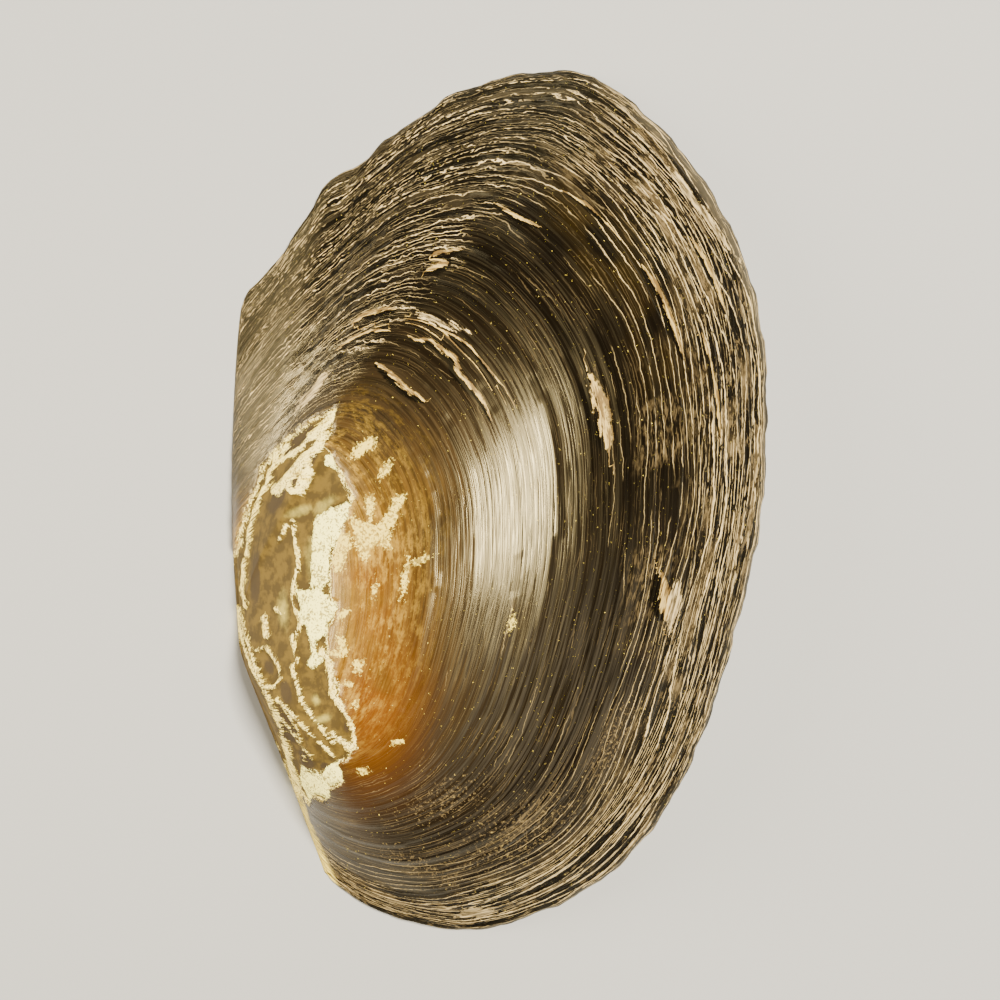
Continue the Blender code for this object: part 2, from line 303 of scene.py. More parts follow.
def outwardOf(points):
    ahead = np.gradient(points, axis=0)
    ahead /= np.linalg.norm(ahead, axis=1)[:, None]
    return np.stack([ahead[:, 1], -ahead[:, 0]], axis=1)


def swellAt(rays):
    table = np.array(valve["swellByRay"])
    ray, spread, rise = valve["ridge"]
    share = np.maximum(cubicThrough(table[:, 0], table[:, 1], rays)[:, 0], 0.0)
    share += rise * bump(rays - ray, spread)
    share[[0, -1]] = 0.0
    return valve["swell"] * share


def valveSurface(growths, margin, beak, swell, bow):
    # a growing edge turns about the hinge as it widens, so its rings are growth lines
    turn = valve["coilAngle"] * (1.0 - growths ** valve["coilPower"])
    reach = growths * np.cos(turn)
    rise = growths * np.sin(turn)
    arms = margin - beak
    hindness = 1.0 / (1.0 + np.exp(-arms[:, 1] / valve["hindTurn"]))
    widening = valve["foreWidening"] + (valve["hindWidening"] - valve["foreWidening"]) * hindness
    wider = ((growths - reach) * (1.0 - growths) ** valve["wideningFade"])[:, None] * widening
    ground = np.empty((len(growths), len(arms), 2))
    ground[:, :, 0] = beak[0] + np.outer(reach, arms[:, 0])
    ground[:, :, 0] -= np.outer((4.0 * reach * (1.0 - reach)) ** valve["bowFullness"], bow)
    ground[:, :, 1] = beak[1] + (reach[:, None] + wider) * arms[:, 1]
    return np.dstack([ground, np.outer(rise, swell)])


def outerGrowths():
    disc = np.linspace(0.0, 1.0, valve["discRings"] + 1)[1:] ** valve["discCrowding"] * valve["edgeFrom"]
    edge = np.linspace(valve["edgeFrom"], 1.0, valve["edgeRings"] + 1)[1:]
    return np.concatenate([disc, edge])


def outerGrid():
    rays = np.linspace(0.0, 1.0, valve["rays"] + 1)
    growths = outerGrowths()
    margin = marginAt(rays)
    outward = outwardOf(margin)
    bow = valve["hingeBow"] * bump(1.0 - rays, valve["bowSpread"])
    grid = valveSurface(growths, margin, np.array(valve["beak"]), swellAt(rays), bow)
    waves = sum(size * bump(rays - ray, spread) for ray, spread, size in valve["marginWaves"])
    nicks = sum(np.sin(rays * rate + rate) / (k + 1) for k, rate in enumerate(valve["nickRates"]))
    nicks *= valve["nickSize"] * np.clip(np.minimum(rays, 1.0 - rays) / valve["nickEnds"], 0.0, 1.0)
    spread = np.outer(growths ** valve["waveReach"], waves)
    spread += np.outer(growths ** valve["nickReach"], nicks)
    grid[:, :, :2] += spread[:, :, None] * outward
    grid[:, [0, -1], 2] = 0.0
    grid[-1, :, 2] = 0.0
    return growths, rays, grid


def innerGrid(outerMargin):
    rays = np.linspace(0.0, 1.0, valve["hollowRays"] + 1)
    along = np.linspace(0.0, 1.0, len(outerMargin))
    edge = np.stack([np.interp(rays, along, outerMargin[:, k]) for k in (0, 1)], axis=1)
    beak = np.array(valve["beak"]) + (valve["hingePlate"], valve["hollowTip"])
    bow = valve["hollowBow"] * valve["hingeBow"] * bump(1.0 - rays, valve["bowSpread"])
    rim = edge - valve["rimWidth"] * outwardOf(edge)
    hinge = np.array([valve["hingePlate"] - valve["rimWidth"], 0.0])
    for ends, corner in ((rays, "foreCorner"), (1.0 - rays, "hindCorner")):
        rim += bump(ends, valve["cornerSpread"])[:, None] * (hinge + valve[corner])
    growths = np.linspace(0.0, 1.0, valve["hollowRings"] + 1)[1:] ** valve["hollowCrowding"]
    grid = valveSurface(growths, rim, beak, valve["hollowShare"] * swellAt(rays), bow)
    ground = grid[:, :, :2] * (1.0, -1.0)
    scars = [depth * ovalShare(ground, (x, -y, *shape), 2.0) for x, y, *shape, depth in valve["scars"]]
    sunk = np.max(scars, axis=0)
    grid[:, :, 2] += sunk
    grid[:, [0, -1], 2] = 0.0
    grid[-1, :, 2] = 0.0
    return growths, rays, grid, beak, sunk


def seenInPhoto(points):
    # where the photograph's camera sees each point, in the photograph's pixels
    nearer = 1.0 - points[..., 2] / photo["cameraHeight"]
    scale = photo["pixels"] / (photo["widthAtTable"] * nearer)
    middle = 0.5 * photo["pixels"]
    return np.stack([middle + points[..., 0] * scale, middle - points[..., 1] * scale], axis=-1)


def toSegment(places, a, b):
    # the share of the way from a to b where each place is nearest, and how far it is from there
    along = b - a
    share = np.clip(((places - a) @ along) / (along @ along), 0.0, 1.0)
    return share, np.linalg.norm(places - (a + share[..., None] * along), axis=-1)


def insideBy(places, outline):
    # signed distance to a closed outline: above zero inside it
    corners = np.array(outline, float)
    nearest = np.full(places.shape[:-1], np.inf)
    inside = np.zeros(places.shape[:-1], bool)
    for a, b in zip(corners, np.roll(corners, -1, axis=0)):
        along = b - a
        nearest = np.minimum(nearest, toSegment(places, a, b)[1])
        crosses = (a[1] > places[..., 1]) != (b[1] > places[..., 1])
        with np.errstate(divide="ignore", invalid="ignore"):
            at = a[0] + (places[..., 1] - a[1]) * along[0] / along[1]
        inside ^= crosses & (places[..., 0] < at)
    return np.where(inside, nearest, -nearest)


def ovalShare(places, oval, steepness=1.0):
    # 1 in the middle of a turned oval, falling to 0 round it
    x, y, halfLength, halfWidth, turn = oval[:5]  # a hollow's oval also has its depth
    angle = math.radians(turn)
    east = places[..., 0] - x
    north = y - places[..., 1]
    along = (east * math.cos(angle) + north * math.sin(angle)) / halfLength
    across = (north * math.cos(angle) - east * math.sin(angle)) / halfWidth
    return np.exp(-((along**2 + across**2) ** steepness))


def nearLines(places, lines, pixel):
    # how far inside the nearest line's width each place is, in mm: below zero outside it
    inside = np.full(places.shape[:-1], farOff)
    for halfWidth, corners in lines:
        corners = np.array(corners, float)
        for a, b in zip(corners, corners[1:]):
            inside = np.maximum(inside, halfWidth - toSegment(places, a, b)[1] * pixel)
    return inside


def besideEdges(places, edges, pixel):
    # how far across the nearest edge each place is, in widths of it, above zero on its left;
    # and a share that is 1 beside the edge and falls to 0 past its ends and away from it
    nearest = np.full(places.shape[:-1], np.inf)
    across = np.zeros(places.shape[:-1])
    beside = np.zeros(places.shape[:-1])
    for width, corners in edges:
        corners = np.array(corners, float)
        steps = np.linalg.norm(np.diff(corners, axis=0), axis=1)
        before = np.concatenate([[0.0], np.cumsum(steps)]) / steps.sum()
        for k, (a, b) in enumerate(zip(corners, corners[1:])):
            along = b - a
            share, distance = toSegment(places, a, b)
            reached = before[k] + share * (before[k + 1] - before[k])
            taper = np.sqrt(np.clip(4.0 * reached * (1.0 - reached), 0.02, 1.0))
            distance = distance * pixel / (width * taper)
            side = np.sign(along[1] * (places[..., 0] - a[0]) - along[0] * (places[..., 1] - a[1]))
            inEnds = smooth(np.minimum(reached, 1.0 - reached), 0.0, 0.06)
            closer = distance < nearest
            across[closer] = (side * distance)[closer]
            beside[closer] = (inEnds * smooth(-distance, -4.5, -3.0))[closer]
            nearest = np.minimum(nearest, distance)
    return np.clip(across, -6.0, 6.0), beside


def stitch(faces, first, second, points):
    # triangles between two rows of points, each taken in turn by its length
    def reached(row):
        steps = np.linalg.norm(np.diff(points[row], axis=0), axis=1)
        return np.concatenate([[0.0], np.cumsum(steps) / steps.sum()])

    i = j = 0
    alongFirst = np.append(reached(first), 2.0)
    alongSecond = np.append(reached(second), 2.0)
    while i < len(first) - 1 or j < len(second) - 1:
        if j == len(second) - 1 or (i < len(first) - 1 and alongFirst[i + 1] <= alongSecond[j + 1]):
            faces.append((first[i], first[i + 1], second[j]))
            i += 1
        else:
            faces.append((second[j + 1], second[j], first[i]))
            j += 1


def skin(faces, rows, tip, flipped):
    # quads over a grid of growth lines, and the fan that closes it at the beak
    def add(*corners):
        faces.append(corners[::-1] if flipped else corners)

    for a, b in zip(rows[0], rows[0][1:]):
        add(tip, a, b)
    for low, high in zip(rows, rows[1:]):
        for a, b, c, d in zip(low, low[1:], high[1:], high):
            add(a, d, c, b)


def baseValve():
    # the smooth valve as one closed mesh, with its fields stored on its points
    growths, rays, outer = outerGrid()
    hollowGrowths, hollowRays, hollow, hollowTip, sunk = innerGrid(outer[-1, :, :2])
    middle = 0.5 * (outer.reshape(-1, 3).min(axis=0) + outer.reshape(-1, 3).max(axis=0))
    middle[2] = 0.0
    tips = np.array([(*valve["beak"], 0.0), (*hollowTip, 0.0)])
    points = np.concatenate([outer.reshape(-1, 3), tips[:1], hollow.reshape(-1, 3), tips[1:]]) - middle

    outerCount = outer.shape[0] * outer.shape[1]
    rows = np.arange(outerCount).reshape(outer.shape[:2])
    hollowRows = np.arange(hollow.shape[0] * hollow.shape[1]).reshape(hollow.shape[:2]) + outerCount + 1
    outerTip = outerCount
    innerTip = len(points) - 1
    faces = []
    skin(faces, rows.tolist(), outerTip, False)
    outerFaces = len(faces)
    skin(faces, hollowRows.tolist(), innerTip, True)
    innerFaces = len(faces)
    stitch(faces, hollowRows[-1].tolist(), rows[-1].tolist(), points)
    outerSides = [[outerTip, *rows[:, side].tolist()] for side in (0, -1)]
    innerSides = [[innerTip, *hollowRows[:, side].tolist()] for side in (0, -1)]
    stitch(faces, innerSides[0], outerSides[0], points)
    stitch(faces, outerSides[1], innerSides[1], points)
    zones = np.full(len(faces), 2)
    zones[:outerFaces] = 0
    zones[outerFaces:innerFaces] = 1

    mesh = bpy.data.meshes.new("left_valve_shell")
    mesh.from_pydata((points * mm).tolist(), [], faces)
    fields = {
        "growth": np.concatenate([np.repeat(growths, len(rays)), [0.0],
                                  np.repeat(hollowGrowths, len(hollowRays)), [0.0]]),
        "ray": np.concatenate([np.tile(rays, len(growths)), [0.5],
                               np.tile(hollowRays, len(hollowGrowths)), [0.5]]),
    }
    isOuter = np.arange(len(points)) <= outerTip
    fields.update(markFields(points, isOuter))
    fields["scar"] = np.concatenate([np.zeros(outerCount + 1), sunk.reshape(-1) / sunk.max(), [0.0]])
    ends = np.minimum(fields["ray"], 1.0 - fields["ray"])
    free = [smooth(near, 0.0, flat) for near, flat in zip((1.0 - fields["growth"], ends), valve["flatEdge"])]
    fields["free"] = isOuter * free[0] * free[1]
    for name, values in fields.items():
        mesh.attributes.new(name, "FLOAT", "POINT").data.foreach_set("value", values.astype(np.float32))
    mesh.attributes.new("zone", "INT", "FACE").data.foreach_set("value", zones.astype(np.int32))
    unwrapValve(mesh, points, zones)
    return mesh


def markFields(points, isOuter):
    # the marks of the photograph as fields on the outside: distances in mm, shares from 0 to 1
    seen = seenInPhoto(points)
    pixel = photo["widthAtTable"] / photo["pixels"]
    fields = {}
    for name in ("worn", "chalk", "gold"):
        outlines = marks[name + "Outlines"]
        distance = np.max([insideBy(seen, outline) for outline in outlines], axis=0) * pixel
        fields[name] = np.where(isOuter, distance, farOff)
    fields["crust"] = np.where(isOuter, nearLines(seen, marks["crustLines"], pixel), farOff)
    fields["flake"], beside = besideEdges(seen, marks["flakes"], pixel)
    fields["flakeNear"] = np.where(isOuter, beside, 0.0)
    for name in ("amber", "mottle", "olive", "pearl", "tan", "umber"):
        share = np.max([ovalShare(seen, oval) for oval in marks[name]], axis=0)
        fields[name] = np.where(isOuter, share, 0.0)
    crumbs = np.max([ovalShare(seen, oval) for oval in marks["gold"]], axis=0)
    fields["gold"] = np.where(isOuter, np.maximum(fields["gold"], crumbs * 1.4 - 0.7), farOff)
    dents = np.max([oval[5] * ovalShare(seen, oval, 2.0) for oval in marks["hollows"]], axis=0)
    fields["dent"] = np.where(isOuter, dents, 0.0)
    return fields


def unwrapValve(mesh, points, zones):
    # each side is laid flat from its summit, with steep places spread outwards
    corners = np.empty(len(mesh.loops), np.int64)
    mesh.loops.foreach_get("vertex_index", corners)
    counts = np.empty(len(mesh.polygons), np.int64)
    mesh.polygons.foreach_get("loop_total", counts)
    zone = np.repeat(zones, counts)
    place = points[corners]
    centre = np.array(unwrap["centre"])
    arm = place[:, :2] - centre
    length = np.maximum(np.linalg.norm(arm, axis=1), 1e-6)
    depth = points[:, 2].max() - place[:, 2]
    spread = 1.0 + np.where(zone < 2, unwrap["steepness"] * depth / length, 0.0)
    flat = arm * spread[:, None]
    flat[zone == 1, 0] *= -1.0
    layout = np.empty_like(flat)
    for index, (left, low, width, height) in enumerate(unwrap["tiles"]):
        chosen = zone == index
        part = flat[chosen] - flat[chosen].min(axis=0)
        layout[chosen] = part * min(width / part[:, 0].max(), height / part[:, 1].max()) + (left, low)
    layer = mesh.uv_layers.new(name="OFBake")
    layer.data.foreach_set("uv", layout.astype(np.float32).ravel())


def connect(tree, value, socket):
    if isinstance(value, Wire):
        tree.links.new(value.socket, socket)
    elif socket.type == "RGBA" and len(value) == 3:
        socket.default_value = (*value, 1.0)
    else:
        socket.default_value = value


def node(tree, kind, inputs=None, **settings):
    made = tree.nodes.new(kind)
    for name, value in settings.items():
        setattr(made, name, value)
    for key, value in (inputs or {}).items():
        connect(tree, value, made.inputs[key])
    return made


def put(tree, kind, inputs=None, **settings):
    # a new node's first output
    return Wire(tree, node(tree, kind, inputs, **settings).outputs[0])


class Wire:
    # what one node puts out; arithmetic on it adds Math nodes to the same tree
    def __init__(self, tree, socket):
        self.tree = tree
        self.socket = socket

    def math(self, operation, *others):
        return put(self.tree, "ShaderNodeMath", dict(enumerate((self, *others))), operation=operation)

    def __add__(self, other):
        return self.math("ADD", other)

    def __sub__(self, other):
        return self.math("SUBTRACT", other)

    def __rsub__(self, other):
        return self.math("MULTIPLY_ADD", -1.0, other)

    def __mul__(self, other):
        return self.math("MULTIPLY", other)

    def __truediv__(self, other):
        return self.math("DIVIDE", other)

    def __pow__(self, other):
        return self.math("POWER", other)

    __radd__ = __add__
    __rmul__ = __mul__

    def whole(self):
        return self.math("FLOOR")

    def fraction(self):
        return self.math("FRACT")

    def higher(self, other):
        return self.math("MAXIMUM", other)

    def size(self):
        return self.math("ABSOLUTE")

    def smooth(self, low, high, start=0.0, end=1.0):
        inputs = {0: self, 1: low, 2: high, 3: start, 4: end}
        return put(self.tree, "ShaderNodeMapRange", inputs, interpolation_type="SMOOTHSTEP")


seedStep = 13.7                 # how far apart the stretches of noise for two seeds lie


def noise(tree, x, y, seed=0.0, detail=1.0, roughness=0.5):
    # noise in the plane; each seed is another stretch of it
    place = put(tree, "ShaderNodeCombineXYZ", {0: x, 1: y + seed * seedStep})
    inputs = {"Vector": place, "Scale": 1.0, "Detail": detail, "Roughness": roughness}
    return put(tree, "ShaderNodeTexNoise", inputs, noise_dimensions="2D")


def noiseIn(tree, place, scale, detail=2.0, roughness=0.5):
    inputs = {"Vector": place, "Scale": scale, "Detail": detail, "Roughness": roughness}
    return put(tree, "ShaderNodeTexNoise", inputs)


def inMm(tree, position):
    return put(tree, "ShaderNodeVectorMath", {0: position, 3: 1.0 / mm}, operation="SCALE")


def objectPlace(tree):
    return inMm(tree, Wire(tree, node(tree, "ShaderNodeTexCoord").outputs["Object"]))


def ramp(tree, share, stops):
    made = node(tree, "ShaderNodeValToRGB", {0: share})
    elements = made.color_ramp.elements
    elements.remove(elements[1])
    for index, (place, colour) in enumerate(stops):
        element = elements[0] if index == 0 else elements.new(place)
        element.position = place
        element.color = (*colour, 1.0)
    return Wire(tree, made.outputs[0])


def growthBands(tree, growth, ray, count, wander, wobble, seed):
    # bands between lines that follow the growing edge: each band's number, and the place across it
    level = growth * count
    sway = noise(tree, ray * 6.0, level * 0.11, seed) - 0.5
    ripple = noise(tree, ray * 55.0, level * 0.5, seed + 2.0, 3.0, 0.65) - 0.5
    phase = level + sway * wander + ripple * wobble
    return phase.whole(), phase.fraction()


def stored(tree, name):
    if tree.type == "GEOMETRY":
        return put(tree, "GeometryNodeInputNamedAttribute", {"Name": name}, data_type="FLOAT")
    return Wire(tree, node(tree, "ShaderNodeAttribute", attribute_name=name).outputs["Fac"])


def raggedness(tree, place, size):
    # how far a worn edge strays, in mm
    broad = noiseIn(tree, place, 0.42) - 0.5
    fine = noiseIn(tree, place, 2.1) - 0.5
    return broad * size + fine * (0.45 * size)


# The flaky slope: the ray of its ridge half way out, how far that drifts and strays, and where it starts.
hindSlope = {"ray": 0.775, "drift": 0.16, "stray": 0.05, "blend": (-0.014, 0.022), "growths": (0.42, 0.62)}


def hindShare(tree, growth, ray):
    # the flaky slope between the ridge and the hinge
    ridge = hindSlope["ray"] - (growth - 0.5) * hindSlope["drift"]
    stray = (noise(tree, ray * 30.0, growth * 22.0, 2.0) - 0.5) * hindSlope["stray"]
    return (ray - ridge + stray).smooth(*hindSlope["blend"]) * growth.smooth(*hindSlope["growths"])


def reliefTree():
    # raises what the growing edge left, lowers what is worn, and gives each face its material
    tree = bpy.data.node_groups.new("growthRelief", "GeometryNodeTree")
    tree.interface.new_socket("Geometry", in_out="INPUT", socket_type="NodeSocketGeometry")
    for name, value in relief.items():
        socket = tree.interface.new_socket(name, in_out="INPUT", socket_type="NodeSocketFloat")
        socket.default_value = value
    for name in ("Outside", "Inside", "Rim"):
        tree.interface.new_socket(name, in_out="INPUT", socket_type="NodeSocketMaterial")
    tree.interface.new_socket("Geometry", in_out="OUTPUT", socket_type="NodeSocketGeometry")
    entry = tree.nodes.new("NodeGroupInput")
    given = {socket.name: Wire(tree, socket) for socket in entry.outputs if socket.name}
    growth = stored(tree, "growth")
    ray = stored(tree, "ray")
    seed = given["Seed"]
    place = inMm(tree, put(tree, "GeometryNodeInputPosition"))

    slow = {
        "hind": hindShare(tree, growth, ray),
        "clouds": noiseIn(tree, place, 0.10, 2.0),
        "patches": noise(tree, ray * 26.0, growth * 22.0, 9.0, 2.0),
        "bands": noise(tree, ray * 34.0, growth * 5.0, 8.0, 2.0),
        "sway": noise(tree, ray * 18.0, growth * 9.0, 3.0),
    }
    flow = given["Geometry"]
    for name, field in slow.items():
        inputs = {"Geometry": flow, "Name": name, "Value": field}
        flow = put(tree, "GeometryNodeStoreNamedAttribute", inputs, data_type="FLOAT", domain="POINT")
    hind = slow["hind"]
    swayed = growth + (noise(tree, ray * 9.0, growth * 14.0, seed + 3.0) - 0.5) * 0.018
    left = (1.0 - swayed) / (1.0 - given["First Rest"])
    level = (1.0 - left.higher(0.0) ** (given["Rest Crowding"] ** -1.0)) * given["Rests"]
    band = level.higher(0.0)
    strength = noise(tree, ray * 5.0, band.whole() * 3.7, seed + 5.0).smooth(0.25, 0.75, 0.45, 1.25)
    rests = band.fraction() ** 1.6 * given["Rest Step"] * (growth ** 3.0 * 0.65 + 0.35)
    rests = rests * strength * (1.0 - hind * 0.45)

    marginal = growth.smooth(0.80, 0.93)
    across = growthBands(tree, growth, ray, given["Lamellae"], given["Wander"], given["Wobble"], seed)[1]
    lamellae = across ** 2.0 * given["Lamella Height"] * marginal * (1.0 - hind)
    across = growthBands(tree, growth, ray, given["Hind Lamellae"], given["Wander"], given["Hind Wobble"],
                         seed + 1.0)[1]
    fibres = across ** 2.0 * given["Hind Roughness"] * hind

    worn = (stored(tree, "worn") + raggedness(tree, place, 2.2)).smooth(-0.35, 0.35)
    crusted = stored(tree, "crust").higher(stored(tree, "chalk"))
    covered = (crusted + raggedness(tree, place, 0.9)).smooth(-0.2, 0.4)
    wear = worn * given["Wear Depth"] * (1.5 - covered)
    height = (rests + lamellae + fibres) * (1.0 - worn * 0.75) - wear - stored(tree, "dent")
    height = height * stored(tree, "free") * mm

    normal = put(tree, "GeometryNodeInputNormal")
    offset = put(tree, "ShaderNodeVectorMath", {0: normal, 3: height}, operation="SCALE")
    flow = put(tree, "GeometryNodeSetPosition", {"Geometry": flow, "Offset": offset})
    flow = put(tree, "GeometryNodeRealizeInstances", {"Geometry": flow})
    zone = put(tree, "GeometryNodeInputNamedAttribute", {"Name": "zone"}, data_type="INT")
    for index, name in enumerate(("Outside", "Inside", "Rim")):
        chosen = put(tree, "FunctionNodeCompare", {2: zone, 3: index}, data_type="INT", operation="EQUAL")
        inputs = {"Geometry": flow, "Selection": chosen, "Material": given[name]}
        flow = put(tree, "GeometryNodeSetMaterial", inputs)
    connect(tree, flow, tree.nodes.new("NodeGroupOutput").inputs[0])
    return tree


# Colours are linear; heights of the fine relief are in mm.
finish = {
    "grounds": [                # the dark skin, from the beak's amber to the edge's black-brown
        (0.00, (0.18, 0.105, 0.011)), (0.38, (0.17, 0.098, 0.011)), (0.44, (0.092, 0.049, 0.008)),
        (0.50, (0.042, 0.025, 0.008)), (0.56, (0.021, 0.0135, 0.006)), (0.64, (0.009, 0.0058, 0.0028)),
        (0.74, (0.0034, 0.0022, 0.0011)), (1.00, (0.004, 0.003, 0.002)),
    ],
    "skinShade": (0.35, 0.35, 0.35),
    "amberSkin": (0.11, 0.033, 0.0008),
    "amberGrain": (0.36, 0.22, 0.030),
    "amberShade": (0.032, 0.011, 0.0015),
    "oliveSkin": (0.013, 0.008, 0.0016),
    "greyDustAndSheen": (0.025, 0.021, 0.015),
    # near black: the dark layer between rims, also used as painted shadow behind rims and flakes
    "darkLayerAndShadow": (0.002, 0.0014, 0.0008),
    "tanLayer": (0.050, 0.036, 0.017),
    "tornTan": (0.11, 0.066, 0.020),
    "flakeGold": (0.48, 0.34, 0.11),
    "edgeGrey": (0.055, 0.048, 0.034),
    "cream": (0.64, 0.49, 0.24),
    "hairline": (0.20, 0.145, 0.068),
    "hindDark": (0.0030, 0.0024, 0.0014),
    "hindLight": (0.14, 0.110, 0.060),
    "wingSkin": (0.0055, 0.0045, 0.0024),
    "goldCrustAndHighlight": (0.66, 0.52, 0.09),
    "chalk": (0.92, 0.87, 0.26),
    "crust": (0.90, 0.76, 0.24),
    "crustShade": (0.10, 0.058, 0.014),
    "oldNacre": (0.080, 0.050, 0.007),
    "deepNacre": (0.032, 0.019, 0.003),
    "paleNacre": (0.40, 0.34, 0.07),
    "umberLayer": (0.020, 0.012, 0.007),
    "nacre": (0.80, 0.79, 0.76),
    "scar": (0.50, 0.46, 0.40),
    "nacrePink": (0.82, 0.66, 0.62),
    "nacreBlue": (0.60, 0.72, 0.78),
    "nacreRing": (0.95, 0.93, 0.90),
    "mantleLine": (0.55, 0.52, 0.47),
    "prismatic": (0.20, 0.17, 0.12),
}

# Sets of growth lines: count over the whole growth, wander and wobble in bands, seed, width, share shown.
lineSets = {
    "skin": (230.0, 5.0, 1.2, 21.0, 0.16, 0.52),
    "margin": (relief["Lamellae"], relief["Wander"], relief["Wobble"], relief["Seed"]),
    "marginFine": (200.0, 7.0, 0.9, 31.0, 0.20, 0.55),
    "hind": (relief["Hind Lamellae"], relief["Wander"], relief["Hind Wobble"], relief["Seed"] + 1.0, 0.10),
    "hindThin": (290.0, 6.0, 2.4, 7.0, 0.14, 0.54),
    "nacre": (14.0, 1.5, 0.1, 3.0, 0.12, 0.7),
}

# Noise drawn out along the growing edge: how fine along it and across it, seed, detail, roughness.
streakSets = {
    "skin": (9.0, 210.0, 1.0, 3.0, 0.6),
    "flecks": (26.0, 70.0, 17.0, 5.0, 0.8),
    "striae": (8.0, 300.0, 5.0, 2.0, 0.7),
    "flaky": (110.0, 260.0, 9.0, 3.0, 0.75),
    "grain": (60.0, 420.0, 4.0, 2.0, 0.7),
    "torn": (44.0, 210.0, 12.0, 3.0, 0.7),
    "beak": (22.0, 150.0, 14.0, 3.0, 0.7),
    "prismatic": (14.0, 6.0),
}


def shaderGroup(name, inputs, outputs, build):
    # a node group with named inputs and outputs, filled by the build function
    tree = bpy.data.node_groups.new(name, "ShaderNodeTree")
    for label, value in inputs.items():
        socket = tree.interface.new_socket(label, in_out="INPUT", socket_type="NodeSocketFloat")
        socket.default_value = value
    for label in outputs:
        tree.interface.new_socket(label, in_out="OUTPUT", socket_type="NodeSocketFloat")
    entry = tree.nodes.new("NodeGroupInput")
    leave = tree.nodes.new("NodeGroupOutput")
    results = build(tree, {socket.name: Wire(tree, socket) for socket in entry.outputs if socket.name})
    for label, wire in results.items():
        tree.links.new(wire.socket, leave.inputs[label])
    return tree


def buildGrowthLines(tree, given):
    # lines along the growing edge: pale rims with gaps in them, the painted shadow behind each, and each
    # band's tone
    growth, ray, seed = given["Growth"], given["Ray"], given["Seed"]
    number, across = growthBands(tree, growth, ray, given["Count"], given["Wander"], given["Wobble"], seed)
    full = noise(tree, ray * 9.0, number * 5.3, seed + 4.0, 3.0, 0.6)
    shown = (full + given["Fullness"] - 1.0).smooth(-0.03, 0.06)
    start = 1.0 - given["Width"] * (full + 0.5)
    line = across.smooth(start - 0.06, start) * across.smooth(1.0, 0.96)
    return {
        "Line": line * shown * full.smooth(0.3, 0.65, 0.35, 1.0),
        "Shadow": across.smooth(0.16, 0.05) * shown,
        "Rise": across,
        "Tone": noise(tree, ray * 16.0, number * 3.7, seed + 6.0, 2.0, 0.6),
    }


def buildFibres(tree, given):
    # short streaks that follow the growing edge
    growth, ray, seed = given["Growth"], given["Ray"], given["Seed"]
    broad = noise(tree, ray * given["Along"], growth * given["Across"], seed, 3.0, 0.6)
    fine = noise(tree, ray * given["Along"] * 2.6, growth * given["Across"] * 2.9, seed + 3.0, 2.0)
    mixed = broad * 0.6 + fine * 0.4
    sharp = given["Sharpness"]
    return {"Light": (mixed - 0.5 + given["Share"] - 0.5).smooth(sharp * -1.0, sharp)}


def buildPits(tree, given):
    # tiny pits and the grain that they sit in
    place = objectPlace(tree)
    fine = noiseIn(tree, place, given["Density"], 3.0, 0.6)
    broad = noiseIn(tree, place, given["Density"] * 0.21, 2.0)
    return {"Pits": (fine * 0.7 + broad * 0.3 + given["Share"] - 1.0).smooth(-0.02, 0.05), "Grain": fine}


def makeGroups():
    return {
        "lines": shaderGroup("growthLines", {
            "Growth": 0.0, "Ray": 0.0, "Count": 82.0, "Wander": 4.5, "Wobble": 0.9,
            "Width": 0.15, "Fullness": 0.6, "Seed": 4.0,
        }, ("Line", "Shadow", "Rise", "Tone"), buildGrowthLines),
        "fibres": shaderGroup("edgeFibres", {
            "Growth": 0.0, "Ray": 0.0, "Along": 30.0, "Across": 150.0, "Share": 0.5,
            "Sharpness": 0.08, "Seed": 1.0,
        }, ("Light",), buildFibres),
        "pits": shaderGroup("tinyPits", {"Density": 3.0, "Share": 0.45}, ("Pits", "Grain"), buildPits),
    }


class Finish:
    # colour, roughness and fine height of one material, laid over each other from below upwards;
    # a colour is a name in finish, or what a node puts out
    def __init__(self, name, groups, colour=None, roughness=None):
        self.material = bpy.data.materials.new(name)
        self.material.use_nodes = True
        self.tree = self.material.node_tree
        self.shader = self.tree.nodes["Principled BSDF"]
        self.groups = groups
        self.colour = colour
        self.roughness = roughness
        self.height = 0.0

    def readShell(self):
        self.place = objectPlace(self.tree)
        self.growth = stored(self.tree, "growth")
        self.ray = stored(self.tree, "ray")
        return self.tree, self.growth, self.ray

    def effect(self, name, **values):
        made = node(self.tree, "ShaderNodeGroup", values, node_tree=self.groups[name])
        return {socket.name: Wire(self.tree, socket) for socket in made.outputs}

    def lines(self, name, **values):
        given = zip(("Count", "Wander", "Wobble", "Seed", "Width", "Fullness"), lineSets[name])
        return self.effect("lines", Growth=self.growth, Ray=self.ray, **dict(given), **values)

    def streaks(self, name):
        along, across, *rest = streakSets[name]
        return noise(self.tree, self.ray * along, self.growth * across, *rest)

    def blend(self, share, low, high, way="MIX"):
        inputs = {0: share, 6: finish.get(low, low), 7: finish.get(high, high)}
        made = node(self.tree, "ShaderNodeMix", inputs, data_type="RGBA", blend_type=way)
        return Wire(self.tree, made.outputs[2])

    def mixed(self, share, low, high):
        return put(self.tree, "ShaderNodeMix", {0: share, 2: low, 3: high}, data_type="FLOAT")

    def lay(self, share, colour=None, roughness=None, height=None):
        if colour is not None:
            self.colour = self.blend(share, self.colour, colour)
        if roughness is not None:
            self.roughness = self.mixed(share, self.roughness, roughness)
        if height is not None:
            self.height = self.mixed(share, self.height, height)

    def done(self, **settings):
        raised = put(self.tree, "ShaderNodeBump", {"Height": self.height, "Distance": mm, "Strength": 1.0})
        for name, value in (("Base Color", self.colour), ("Roughness", self.roughness), ("Normal", raised)):
            connect(self.tree, value, self.shader.inputs[name])
        for name, value in settings.items():
            self.shader.inputs[name.replace("_", " ")].default_value = value
        return self.material


